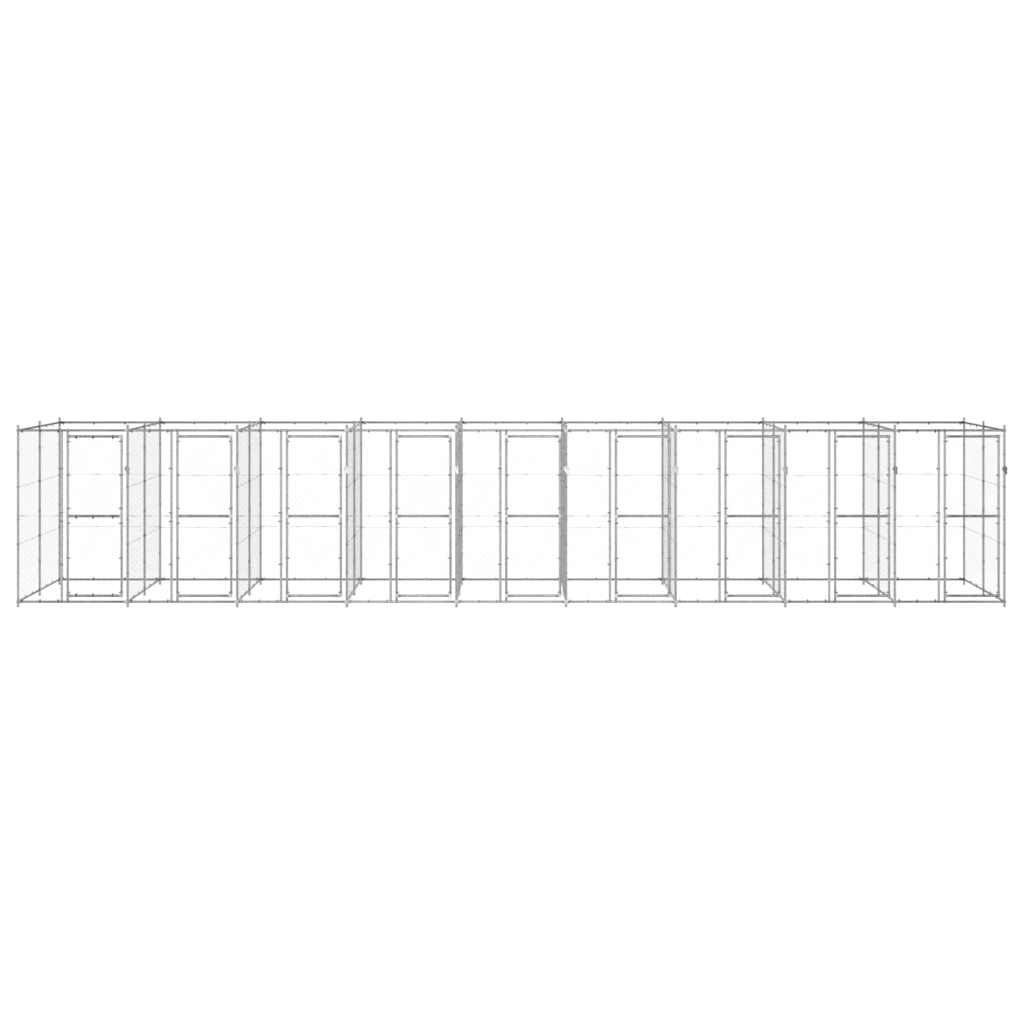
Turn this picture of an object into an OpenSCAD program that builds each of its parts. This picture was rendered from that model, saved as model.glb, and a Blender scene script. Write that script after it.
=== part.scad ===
// Outdoor dog kennel run: one straight row of open-topped bays in galvanised tube,
// with wire mesh walls, a swinging door in the front of each bay and a turn latch
// on the post beside it.
// Millimetres. +X runs along the row to the right, -Y is the front, +Z is up.
// The origin is on the ground, in the middle of the row.

/* [Run] */
// Distance from post to post along the row, which is the width of one bay
bay_pitch = 1100; // [1000:10:1200]
// Distance from the front posts to the rear posts
run_depth = 2200; // [2000:20:2400]
// Height of a post from the ground to the top of its cap
post_h = 1830; // [1700:5:2000]

/* [Tubes] */
// Outside diameter of a post
post_d = 25; // [24:1:26]
// Outside diameter of the front, rear and side rails
rail_d = 22; // [21:1:22]
// Wall thickness of every tube
wall = 1; // [0.8:0.1:1.4]
// Height of the bottom rails above the ground, at the middle of the tube
rail_low = 56; // [48:1:70]
// How far the middle of the top rails is below the top of the posts
rail_drop = 55; // [45:1:70]

/* [Flattened ends] */
// Thickness of a rail end pressed flat
tab_t = 2.15; // [1.8:0.05:2.5]
// Radius of the rounded end of the flat
tab_r = 15.5; // [14:0.5:16]

/* [Door] */
// Distance from the left post of a bay to its fixed upright
upright_x = 440; // [400:5:480]
// Distance from the fixed upright to the hinge line of the door
hinge_gap = 60; // [50:1:70]
// Distance from the middle of the free stile to the right post
free_gap = 60; // [56:1:60]
// Outside diameter of the fixed uprights and of the stiles of the doors
stile_d = 25; // [24:1:25]
// Outside diameter of the door rails
door_rail_d = 24; // [23:1:24]
// How far the ends of the free stile stand past the middle of the door's top and bottom rails
stile_past = 16; // [15:1:20]
// How far the door rails stand in front of the middle of the stiles
lap = 3; // [2.5:0.1:4]
// Distance from a front rail to the door rail next to it
door_inset = 60.5; // [55:0.5:70]

/* [Mesh] */
// Thickness of the closed panel that stands for the woven wire
mesh_t = 1.4; // [1.2:0.1:2]
// Diameter of the tension wires
wire_d = 2.5; // [2:0.1:3]
// Width of a mesh clip along its tube
clip_w = 18; // [10:1:18]
// Reach of a mesh clip from the surface of its tube
clip_reach = 16; // [12:1:18]

/* [Latch] */
// Height of the pivot of the turn latch above the ground
latch_z = 1397; // [1360:1:1430]
// Thickness of the latch plate
latch_t = 3; // [2:0.5:4]

/* [Hidden] */
bays = 9;
$fn = 48;
play = 0.05;                 // radial running clearance and seat gap
post_r = post_d / 2;
rail_r = rail_d / 2;
stile_r = stile_d / 2;
tab_step = tab_t + play;
// the rails stand a little outside the post line, so that both layers of flat end join the tube
rail_off = post_r + 1.5 * tab_step - rail_r;
rail_high = post_h - rail_drop;
y_front = -run_depth / 2;
y_rear = run_depth / 2;
half_depth = run_depth / 2;
y_door = y_front - rail_off;
// door
hinge_x = upright_x + hinge_gap;
door_w = bay_pitch - hinge_x - free_gap;
door_low = rail_low + door_inset;
door_high = rail_high - door_inset;
door_mid = (door_low + door_high) / 2;
stile_low = rail_low + rail_r + 2;
stile_high = rail_high - rail_r - 2;
plug = 24;                   // solid length at the end of a plugged tube
door_r = door_rail_d / 2;
mid_r = door_r + 1.2;        // radius of the middle rail of the door
// fasteners
bolt_r = 4;
hole_r = bolt_r + 0.1;
screw_r = 3;
washer_r = 8.5;
washer_t = 1.4;
hex_r = 13 / 2 / cos(30);    // 13 mm across the flats
head_t = 5;
grip = 18;                   // length of thread in a plugged rail end
stack = post_r + play + 2 * tab_step;   // post centre to the outside of both flats
// end caps
cap_t = 3;
cap_h = 15;
cap_r = post_r + play + 1.15;
// mesh clips and tension wires
band_t = 1.2;
wire_r = wire_d / 2;
wire_off = 4;                // tension wire to the middle of the mesh
eye_t = 2;                   // flattened eye at the end of a tension wire
eye_h = 3;
rear_clip_at = [0.039, 0.34, 0.65, 0.961];
side_clip_at = [0.022, 0.34, 0.65, 0.978];
fixed_clip_at = [42, 222, 404];
upright_clip_z = [1393, 947, 862, 431];
post_clip_z = [1536, 880, 344];
door_clip_at = [0.16, 0.47, 0.84];
door_clip_z = [1664, 1326, 992, 842, 492, 150];
wire_z = [rail_low + (rail_high - rail_low) / 3, rail_low + 2 * (rail_high - rail_low) / 3];
sleeve_at = [0.37, 0.64];
// latch
latch_gap = 0.3;
latch_back = max(stack + 0.8, rail_off + stile_r + 1.6);   // post centre to the back of the latch plate
latch_head = [-2, -6];
latch_head_r = 27;
latch_tail = [13, -52];
latch_tail_r = 12;

function post_x(i) = (i - bays / 2) * bay_pitch;

// ---------- shapes that repeat ----------

// round bar along +X, +Y from its start
module xbar(r, l) rotate([0, 90, 0]) cylinder(r = r, h = l);
module ybar(r, l) rotate([-90, 0, 0]) cylinder(r = r, h = l);

// puts what follows at every post of one line
module at_posts(y, first = 0) for (i = [first : bays]) translate([post_x(i), y, 0]) children();

// puts what follows at the left post of every bay
module at_bays(y) for (i = [0 : bays - 1]) translate([post_x(i), y, 0]) children();

// a post: a tube with a cross hole at each rail, and one more where a latch is fixed
module post(latch = false) difference() {
    translate([0, 0, cap_t + play]) cylinder(r = post_r, h = post_h - 2 * (cap_t + play));
    cylinder(r = post_r - wall, h = post_h);
    for (z = [rail_low, rail_high]) translate([0, -2 * post_r, z]) ybar(hole_r, 4 * post_r);
    if (latch) translate([0, -2 * post_r, latch_z]) ybar(hole_r, 4 * post_r);
}

// a cap that sits over the end of a post
module end_cap() difference() {
    cylinder(r = cap_r, h = cap_h);
    translate([0, 0, cap_t]) cylinder(r = post_r + play, h = cap_h);
}

// outline of a rail end pressed flat, its rounded end about the start
module flat_shape() {
    circle(r = tab_r);
    polygon([[0, -tab_r + 0.1], [15, -tab_r + 0.1], [32, -rail_r * 0.45],
             [32, rail_r * 0.45], [15, tab_r - 0.1], [0, tab_r - 0.1]]);
}

// the flat at a rail end, bolt hole at the start, in layer 0 (next to the post) or 1
module flat_end(layer) {
    back = post_r + play + layer * tab_step - rail_off;
    translate([0, -back, 0]) rotate([90, 0, 0]) linear_extrude(tab_t) difference() {
        flat_shape();
        circle(r = hole_r);
    }
}

// slanting cut where the round tube runs out into its flat
module end_cut() translate([0, 0, -2 * rail_r]) linear_extrude(4 * rail_r)
    polygon([[-5, -rail_r - 2], [16, -rail_r - 2], [32, rail_r + 2], [-5, rail_r + 2]]);

// a rail between two posts, with flattened ends that are bolted to the outside of the posts;
// drilled for the upright and for the hinge pin if it is at the front
module flat_rail(drilled) difference() {
    union() {
        difference() {
            translate([12, 0, 0]) xbar(rail_r, bay_pitch - 24);
            end_cut();
            translate([bay_pitch, 0, 0]) mirror([1, 0, 0]) end_cut();
        }
        flat_end(0);
        translate([bay_pitch, 0, 0]) mirror([1, 0, 0]) flat_end(1);
    }
    translate([42, 0, 0]) xbar(rail_r - wall, bay_pitch - 84);
    if (drilled) {
        translate([upright_x, 0, -2 * rail_r]) cylinder(r = screw_r + 0.1, h = 4 * rail_r);
        translate([hinge_x, 0, -2 * rail_r]) cylinder(r = hole_r, h = 4 * rail_r);
    }
}

// a side rail between two posts, with plugged and threaded ends shaped to the posts
module side_rail() difference() {
    translate([0, 4, 0]) ybar(rail_r, half_depth - 8);
    for (y = [0, half_depth]) translate([0, y, -2 * rail_r]) cylinder(r = post_r + play, h = 4 * rail_r);
    translate([0, 36, 0]) ybar(rail_r - wall, half_depth - 72);
    ybar(bolt_r + play, 40);
    translate([0, half_depth - 40, 0]) ybar(bolt_r + play, 40);
}

// a flat ring on a bolt that runs outward along -Y, from one distance to another
module ring(from, to, inner, outer) translate([0, -to, 0]) difference() {
    ybar(outer, to - from);
    translate([0, -1, 0]) ybar(inner, to - from + 2);
}

// a bolt that runs along Y, with its hex head outward at -Y
module hex_bolt(seat, tip) {
    translate([0, -seat - head_t, 0]) rotate([-90, 0, 0]) rotate(30) cylinder(r = hex_r, h = head_t, $fn = 6);
    translate([0, -seat - 1, 0]) ybar(bolt_r, seat + 1 + tip);
}

// a mesh clip on a tube that runs along Z, with its ear at +X
module clip(tube_r) difference() {
    union() {
        cylinder(r = tube_r + play + band_t, h = clip_w, center = true);
        translate([0, band_t, 0]) rotate([90, 0, 0]) linear_extrude(2 * band_t)
            polygon([[0, -clip_w / 2], [tube_r + 4, -clip_w / 2], [tube_r + clip_reach, -clip_w / 5],
                     [tube_r + clip_reach, clip_w / 5], [tube_r + 4, clip_w / 2], [0, clip_w / 2]]);
    }
    cylinder(r = tube_r + play, h = clip_w + 2, center = true);
}
// the same clip on a tube along X or Y, ear down or up
module clip_x(tube_r, down) rotate([0, down ? 90 : -90, 0]) clip(tube_r);
module clip_y(tube_r, down) rotate([0, 0, 90]) clip_x(tube_r, down);

// a flat eye round a post or upright, lying level
module eye(inner) translate([0, 0, -eye_h / 2]) difference() {
    cylinder(r = inner + eye_t, h = eye_h);
    translate([0, 0, -1]) cylinder(r = inner, h = eye_h + 2);
}

// a tension wire along +X from post centre to post centre, with an eye round each
module tension_wire(l, r_start, r_end, off_start, off_end) {
    in_s = r_start + 0.15;
    in_e = r_end + 0.15;
    s = sqrt(pow(in_s + eye_t / 2, 2) - off_start * off_start);
    e = sqrt(pow(in_e + eye_t / 2, 2) - off_end * off_end);
    difference() {
        union() {
            translate([s, 0, 0]) xbar(wire_r, l - s - e);
            translate([0, -off_start, 0]) eye(in_s);
            translate([l, -off_end, 0]) eye(in_e);
        }
        translate([0, -off_start, -5]) cylinder(r = in_s, h = 10);
        translate([l, -off_end, -5]) cylinder(r = in_e, h = 10);
    }
}

// a sleeve that ties the mesh to a tension wire along X
module sleeve() translate([-10, 0, 0]) difference() {
    xbar(3, 20);
    translate([-1, 0, 0]) xbar(wire_r + play, 22);
}

// ---------- posts ----------

module front_posts() color([0.66, 0.67, 0.68]) for (i = [0 : bays]) translate([post_x(i), y_front, 0]) post(i > 0);
module middle_posts() color([0.62, 0.63, 0.64]) at_posts(0) post();
module rear_posts() color([0.6, 0.61, 0.62]) at_posts(y_rear) post();
module post_feet() color([0.3, 0.31, 0.32]) for (y = [y_front, 0, y_rear]) at_posts(y) end_cap();
module post_top_caps() color([0.34, 0.35, 0.36]) for (y = [y_front, 0, y_rear]) at_posts(y)
    translate([0, 0, post_h]) mirror([0, 0, 1]) end_cap();

// ---------- rails and uprights ----------

module front_top_rails() color([0.58, 0.59, 0.6]) at_bays(y_door) translate([0, 0, rail_high]) flat_rail(true);
module front_bottom_rails() color([0.56, 0.57, 0.58]) at_bays(y_door) translate([0, 0, rail_low]) flat_rail(true);
module rear_top_rails() color([0.55, 0.56, 0.57]) at_bays(y_rear + rail_off)
    translate([0, 0, rail_high]) mirror([0, 1, 0]) flat_rail(false);
module rear_bottom_rails() color([0.54, 0.55, 0.56]) at_bays(y_rear + rail_off)
    translate([0, 0, rail_low]) mirror([0, 1, 0]) flat_rail(false);
module side_top_rails() color([0.58, 0.59, 0.6]) for (y = [y_front, 0]) at_posts(y)
    translate([0, 0, rail_high]) side_rail();
module side_bottom_rails() color([0.57, 0.58, 0.59]) for (y = [y_front, 0]) at_posts(y)
    translate([0, 0, rail_low]) side_rail();

// fixed uprights at the hinge side of the doors, plugged and threaded at both ends
module door_uprights() color([0.62, 0.63, 0.64]) at_bays(y_door) translate([upright_x, 0, 0]) difference() {
    z0 = rail_low + rail_r + 0.2;
    z1 = rail_high - rail_r - 0.2;
    translate([0, 0, z0]) cylinder(r = stile_r, h = z1 - z0);
    translate([0, 0, z0 + plug]) cylinder(r = stile_r - wall, h = z1 - z0 - 2 * plug);
    translate([0, 0, z0 - 1]) cylinder(r = screw_r + play, h = plug + 2);
    translate([0, 0, z1 - plug - 1]) cylinder(r = screw_r + play, h = plug + 2);
}

// ---------- fasteners ----------

// bolts through the flats and the corner posts, threaded into the ends of the side rails
module corner_bolts() color([0.72, 0.73, 0.74]) for (z = [rail_low, rail_high]) {
    at_posts(y_front) translate([0, 0, z]) hex_bolt(stack + washer_t + 2 * play, post_r + grip);
    at_posts(y_rear) translate([0, 0, z]) mirror([0, 1, 0]) hex_bolt(stack + washer_t + 2 * play, post_r + grip);
}

// headless studs through the middle posts, threaded into the side rails at both sides
module middle_studs() color([0.72, 0.73, 0.74]) for (z = [rail_low, rail_high]) at_posts(0)
    translate([0, -post_r - grip, z]) ybar(bolt_r, 2 * (post_r + grip));

// washers under the bolt heads, packing washers at the end posts where only one flat is bolted,
// bearing washers at the hinge pins, and the washers and spacers of the latches
module flat_washers() color([0.7, 0.71, 0.72]) {
    for (z = [rail_low, rail_high]) {
        at_posts(y_front) translate([0, 0, z]) ring(stack + play, stack + play + washer_t, hole_r, washer_r);
        at_posts(y_rear) translate([0, 0, z]) mirror([0, 1, 0]) ring(stack + play, stack + play + washer_t, hole_r, washer_r);
        for (m = [0, 1]) mirror([0, m, 0]) {
            translate([post_x(0), y_front, z]) ring(post_r + play + tab_step, stack, hole_r, washer_r);
            translate([post_x(bays), y_front, z]) ring(post_r + play, post_r + tab_step, hole_r, washer_r);
        }
    }
    at_bays(y_door) translate([hinge_x, 0, 0]) for (z = [rail_low + rail_r + play, rail_high - rail_r - play - washer_t])
        translate([0, 0, z]) difference() {
            cylinder(r = washer_r, h = washer_t);
            translate([0, 0, -1]) cylinder(r = hole_r, h = washer_t + 2);
        }
    at_posts(y_front, 1) translate([0, 0, latch_z]) {
        ring(post_r + play, latch_back - latch_gap, hole_r, 7);
        ring(-post_r - play - washer_t, -post_r - play, hole_r, washer_r);
    }
}

// screws through the front rails into the ends of the uprights
module upright_screws() color([0.72, 0.73, 0.74]) at_bays(y_door) translate([upright_x, 0, 0])
    for (top = [0, 1]) translate([0, 0, top ? rail_high : rail_low]) mirror([0, 0, top]) {
        translate([0, 0, -rail_r - play - 3.5]) cylinder(r = 5.5, h = 3.5);
        translate([0, 0, -rail_r - play - 1]) cylinder(r = screw_r, h = 2 * rail_r + 1 + 17);
    }

// hinge pins through the front rails into the bored ends of the hinge stiles
module hinge_pins() color([0.72, 0.73, 0.74]) at_bays(y_door) translate([hinge_x, 0, 0])
    for (top = [0, 1]) translate([0, 0, top ? rail_high : rail_low]) mirror([0, 0, top]) {
        translate([0, 0, -rail_r - play - head_t]) cylinder(r = hex_r, h = head_t, $fn = 6);
        translate([0, 0, -rail_r - play - 1]) cylinder(r = bolt_r, h = 2 * rail_r + play + 1 + 22);
    }

// ---------- mesh walls ----------

mesh_edge = rail_r + clip_reach + 0.3;      // middle of a rail to the edge of the mesh panel
post_edge = post_r + clip_reach + 0.5;      // middle of a post to the edge of the mesh panel
stile_edge = stile_r + clip_reach + 0.3;    // middle of an upright or a stile to the edge of the mesh panel
door_edge = door_r + clip_reach + 0.3;      // middle of an outer door rail to the edge of the mesh panel
mid_edge = mid_r + clip_reach + 0.3;        // middle of the middle door rail to the edge of the mesh panel
module wall_mesh(w, h) translate([0, -mesh_t / 2, 0]) cube([w, mesh_t, h]);

module fixed_front_mesh() color([0.7, 0.72, 0.74, 0.4]) at_bays(y_door)
    translate([post_edge, 0, rail_low + mesh_edge])
        wall_mesh(upright_x - post_edge - stile_edge, rail_high - rail_low - 2 * mesh_edge);
module rear_mesh() color([0.7, 0.72, 0.74, 0.4]) at_bays(y_rear + rail_off)
    translate([post_edge, 0, rail_low + mesh_edge])
        wall_mesh(bay_pitch - 2 * post_edge, rail_high - rail_low - 2 * mesh_edge);
module side_mesh() color([0.7, 0.72, 0.74, 0.4]) for (y = [y_front, 0]) at_posts(y)
    translate([0, post_edge, rail_low + mesh_edge]) rotate([0, 0, 90])
        wall_mesh(half_depth - 2 * post_edge, rail_high - rail_low - 2 * mesh_edge);

// tension wires: two in each side and rear panel, one in each fixed front panel.
// Wires that end on the same post are a few millimetres apart in height.
module tension_wires() color([0.66, 0.68, 0.7]) {
    for (z = wire_z) {
        for (half = [0, 1]) at_posts(half ? 0 : y_front) translate([wire_off, 0, z + (half ? -2 : 2)]) rotate([0, 0, 90])
            tension_wire(half_depth, post_r, post_r, -wire_off, -wire_off);
        for (i = [0 : bays - 1]) translate([post_x(i), y_rear + rail_off - wire_off, z + (i % 2 == 0 ? 6 : -6)])
            tension_wire(bay_pitch, post_r, post_r, rail_off - wire_off, rail_off - wire_off);
    }
    at_bays(y_door + wire_off) translate([0, 0, door_mid])
        tension_wire(upright_x, post_r, stile_r, wire_off - rail_off, wire_off);
}

// clips that hold the mesh to the rails and uprights, and sleeves on the tension wires
module mesh_clips() color([0.5, 0.51, 0.52]) {
    for (low = [0, 1]) translate([0, 0, low ? rail_low : rail_high]) {
        at_bays(y_rear + rail_off) for (f = rear_clip_at) translate([f * bay_pitch, 0, 0]) clip_x(rail_r, !low);
        for (y = [y_front, 0]) at_posts(y) for (f = side_clip_at) translate([0, f * half_depth, 0]) clip_y(rail_r, !low);
        at_bays(y_door) for (x = fixed_clip_at) translate([x, 0, 0]) clip_x(rail_r, !low);
    }
    at_bays(y_door) for (z = upright_clip_z) translate([upright_x, 0, z]) rotate(180) clip(stile_r);
    for (z = post_clip_z) {
        for (y = [y_front, 0]) at_posts(y) translate([0, 0, z]) rotate(90) clip(post_r);
        for (y = [0, y_rear]) at_posts(y) translate([0, 0, z + (y == 0 ? 24 : 0)]) rotate(-90) clip(post_r);
    }
    for (z = wire_z, f = sleeve_at) {
        for (half = [0, 1]) at_posts(half ? 0 : y_front) translate([wire_off, f * half_depth, z + (half ? -2 : 2)])
            rotate([0, 0, 90]) sleeve();
        for (i = [0 : bays - 1]) translate([post_x(i) + f * bay_pitch, y_rear + rail_off - wire_off, z + (i % 2 == 0 ? 6 : -6)]) sleeve();
    }
    at_bays(y_door + wire_off) for (f = [0.12, 0.5, 0.88]) translate([f * upright_x, 0, door_mid]) sleeve();
}

// ---------- doors ----------

module at_door(k) translate([post_x(k - 1) + hinge_x, y_door, 0]) children();

// a door rail with ends pressed flat, which lap the front of the stiles
module door_rail(r) difference() {
    union() {
        difference() {
            translate([12, 0, 0]) xbar(r, door_w - 24);
            end_cut();
            translate([door_w, 0, 0]) mirror([1, 0, 0]) end_cut();
        }
        translate([0, 0.4 + lap - stile_r, 0]) rotate([90, 0, 0]) linear_extrude(tab_t) flat_shape();
        translate([door_w, 0.4 + lap - stile_r, 0]) mirror([1, 0, 0]) rotate([90, 0, 0]) linear_extrude(tab_t) flat_shape();
        translate([0, lap - stile_r - tab_t - 1.4, 0]) ybar(4.5, 2.4);
        translate([door_w, lap - stile_r - tab_t - 1.4, 0]) ybar(4.5, 2.4);
    }
    translate([42, 0, 0]) xbar(r - wall, door_w - 84);
}

// door frame: hinge stile with a bored plug at each end, free stile, and three rails
// whose flat ends are riveted and welded to the stiles
module door_frame(k) color([0.62, 0.63, 0.65]) at_door(k) difference() {
    free_low = door_low - stile_past;
    free_high = door_high + stile_past;
    union() {
        translate([0, 0, stile_low]) cylinder(r = stile_r, h = stile_high - stile_low);
        translate([door_w, 0, free_low]) cylinder(r = stile_r, h = free_high - free_low);
        translate([0, -lap, door_low]) door_rail(door_r);
        translate([0, -lap, door_mid]) door_rail(mid_r);
        translate([0, -lap, door_high]) door_rail(door_r);
    }
    translate([0, 0, stile_low + plug]) cylinder(r = stile_r - wall, h = stile_high - stile_low - 2 * plug);
    translate([door_w, 0, free_low + 2]) cylinder(r = stile_r - wall, h = free_high - free_low - 4);
    translate([0, 0, stile_low - 1]) cylinder(r = bolt_r + play, h = plug + 2);
    translate([0, 0, stile_high - plug - 1]) cylinder(r = bolt_r + play, h = plug + 2);
}

// upper and lower mesh panel of a door
module door_mesh(k) color([0.7, 0.72, 0.74, 0.4]) at_door(k) {
    x0 = stile_edge;
    x1 = door_w - stile_edge;
    for (z = [[door_low + door_edge, door_mid - mid_edge], [door_mid + mid_edge, door_high - door_edge]])
        translate([x0, -lap / 2, z[0]]) wall_mesh(x1 - x0, z[1] - z[0]);
}

// clips on the stiles of a door; the door of the first bay has them on its rails too
module door_clips(k) color([0.5, 0.51, 0.52]) at_door(k) {
    if (k == 1) for (f = door_clip_at) {
        translate([f * door_w, -lap, door_high]) clip_x(door_r, true);
        translate([f * door_w, -lap, door_mid]) clip_x(mid_r, true);
        translate([f * door_w, -lap, door_low]) clip_x(door_r, false);
    }
    for (z = door_clip_z) {
        translate([0, 0, z]) clip(stile_r);
        translate([door_w, 0, z]) rotate(180) clip(stile_r);
    }
}

// ---------- latches ----------

// comma-shaped turn plate that hangs from a bolt through the post
module latch_plate(k) color([0.74, 0.75, 0.77]) translate([post_x(k), y_front - latch_back, latch_z])
    rotate([90, 0, 0]) difference() {
        union() {
            translate(latch_head) cylinder(r = latch_head_r, h = latch_t);
            translate(latch_tail) cylinder(r = latch_tail_r, h = latch_t);
            linear_extrude(latch_t)
                polygon([[latch_head[0] + 26, latch_head[1] - 2], [latch_tail[0] + 11.6, latch_tail[1] + 2],
                         [latch_tail[0] - 11, latch_tail[1] - 4], [latch_head[0] - 18, latch_head[1] - 16]]);
        }
        translate([0, 0, -1]) cylinder(r = bolt_r + play, h = latch_t + 2);
    }

module latch_bolts() color([0.72, 0.73, 0.74]) at_posts(y_front, 1) translate([0, 0, latch_z])
    hex_bolt(latch_back + latch_t + latch_gap, post_r + play + washer_t + 8.5);
module latch_nuts() color([0.72, 0.73, 0.74]) at_posts(y_front, 1)
    translate([0, post_r + washer_t + 2 * play, latch_z]) rotate([-90, 0, 0]) difference() {
        rotate(30) cylinder(r = hex_r, h = 6.5, $fn = 6);
        translate([0, 0, -1]) cylinder(r = bolt_r + play, h = 9);
    }

// ---------- the assembly ----------

front_posts();
middle_posts();
rear_posts();
post_feet();
post_top_caps();
front_top_rails();
front_bottom_rails();
rear_top_rails();
rear_bottom_rails();
side_top_rails();
side_bottom_rails();
door_uprights();
corner_bolts();
middle_studs();
flat_washers();
upright_screws();
hinge_pins();
fixed_front_mesh();
rear_mesh();
side_mesh();
tension_wires();
mesh_clips();
latch_bolts();
latch_nuts();
door_frame(1);  // door_frame_1
door_frame(2);  // door_frame_2
door_frame(3);  // door_frame_3
door_frame(4);  // door_frame_4
door_frame(5);  // door_frame_5
door_frame(6);  // door_frame_6
door_frame(7);  // door_frame_7
door_frame(8);  // door_frame_8
door_frame(9);  // door_frame_9
door_mesh(1);  // door_mesh_1
door_mesh(2);  // door_mesh_2
door_mesh(3);  // door_mesh_3
door_mesh(4);  // door_mesh_4
door_mesh(5);  // door_mesh_5
door_mesh(6);  // door_mesh_6
door_mesh(7);  // door_mesh_7
door_mesh(8);  // door_mesh_8
door_mesh(9);  // door_mesh_9
door_clips(1);  // door_clips_1
door_clips(2);  // door_clips_2
door_clips(3);  // door_clips_3
door_clips(4);  // door_clips_4
door_clips(5);  // door_clips_5
door_clips(6);  // door_clips_6
door_clips(7);  // door_clips_7
door_clips(8);  // door_clips_8
door_clips(9);  // door_clips_9
latch_plate(1);  // latch_plate_1
latch_plate(2);  // latch_plate_2
latch_plate(3);  // latch_plate_3
latch_plate(4);  // latch_plate_4
latch_plate(5);  // latch_plate_5
latch_plate(6);  // latch_plate_6
latch_plate(7);  // latch_plate_7
latch_plate(8);  // latch_plate_8
latch_plate(9);  // latch_plate_9
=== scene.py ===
"""Looks of the outdoor dog kennel run: galvanised tube, woven wire, clips, latches and fasteners,
built round the fixed frame. Metres; +X along the row, -Y is the front, +Z is up."""

import math

import bpy
import mathutils
import numpy as np
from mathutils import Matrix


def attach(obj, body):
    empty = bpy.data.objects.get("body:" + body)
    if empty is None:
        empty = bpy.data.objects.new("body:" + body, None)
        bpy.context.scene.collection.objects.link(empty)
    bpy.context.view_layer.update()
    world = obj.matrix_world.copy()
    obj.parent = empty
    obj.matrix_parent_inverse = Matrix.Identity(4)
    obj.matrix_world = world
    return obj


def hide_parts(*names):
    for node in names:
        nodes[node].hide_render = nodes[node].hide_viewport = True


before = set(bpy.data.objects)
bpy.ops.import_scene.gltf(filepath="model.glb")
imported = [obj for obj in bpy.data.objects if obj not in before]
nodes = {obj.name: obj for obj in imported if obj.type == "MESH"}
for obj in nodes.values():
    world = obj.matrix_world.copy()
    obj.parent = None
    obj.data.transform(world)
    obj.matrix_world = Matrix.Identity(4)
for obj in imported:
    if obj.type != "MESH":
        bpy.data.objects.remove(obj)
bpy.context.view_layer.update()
scene = bpy.context.scene

# ---------------------------------------------------------------- dimensions
MM = 0.001
BAYS, PITCH = 9, 1.1
Y_FRONT, Y_MID, Y_REAR = -1.1, 0.0, 1.1
HALF = 1.1
POST_H, POST_R, RAIL_R, STILE_R = 1.83, 12.5 * MM, 11 * MM, 12.5 * MM
DOOR_R, MID_R = 12 * MM, 13.2 * MM
RAIL_OFF = 4.8 * MM
Y_DOOR, Y_BACK = Y_FRONT - RAIL_OFF, Y_REAR + RAIL_OFF
Z_LOW, Z_HIGH = 56 * MM, 1775 * MM
UPRIGHT_X, HINGE_X, DOOR_W = 440 * MM, 500 * MM, 540 * MM
D_LOW, D_MID, D_HIGH = 116.5 * MM, 915.5 * MM, 1714.5 * MM
STILE_LOW, STILE_HIGH, STILE_PAST, LAP = 69 * MM, 1762 * MM, 16 * MM, 3 * MM
PLAY = 0.05 * MM
TAB_T, TAB_R, TAB_STEP = 2.15 * MM, 15.5 * MM, 2.2 * MM
STACK = 16.95 * MM
WASHER_T, HEAD_T, GRIP = 1.4 * MM, 5 * MM, 18 * MM
BOLT_R, SCREW_R = 4 * MM, 3 * MM
CAP_H = 15 * MM
WIRE_R, WIRE_OFF = 1.25 * MM, 4 * MM
WIRE_Z = (629 * MM, 1202 * MM)
LATCH_Z, LATCH_T, LATCH_BACK, LATCH_GAP = 1397 * MM, 3 * MM, 18.9 * MM, 0.3 * MM
CLIP_W, CLIP_REACH, BAND_T = 18 * MM, 16 * MM, 1.2 * MM
REAR_CLIP_AT = (0.039, 0.34, 0.65, 0.961)
SIDE_CLIP_AT = (0.022, 0.34, 0.65, 0.978)
FIXED_CLIP_AT = (42 * MM, 222 * MM, 404 * MM)
UPRIGHT_CLIP_Z = (1393 * MM, 947 * MM, 862 * MM, 431 * MM)
POST_CLIP_Z = (1536 * MM, 880 * MM, 344 * MM)
DOOR_CLIP_AT = (0.16, 0.47, 0.84)
DOOR_CLIP_Z = (1664 * MM, 1326 * MM, 992 * MM, 842 * MM, 492 * MM, 150 * MM)
SLEEVE_AT = (0.37, 0.64)
# woven wire: radius, and the width and height of one diamond
WALL_R, PANEL_R, DIAMOND = 0.46 * MM, 0.46 * MM, 60 * MM


def post_x(i):
    return (i - BAYS / 2) * PITCH


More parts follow.
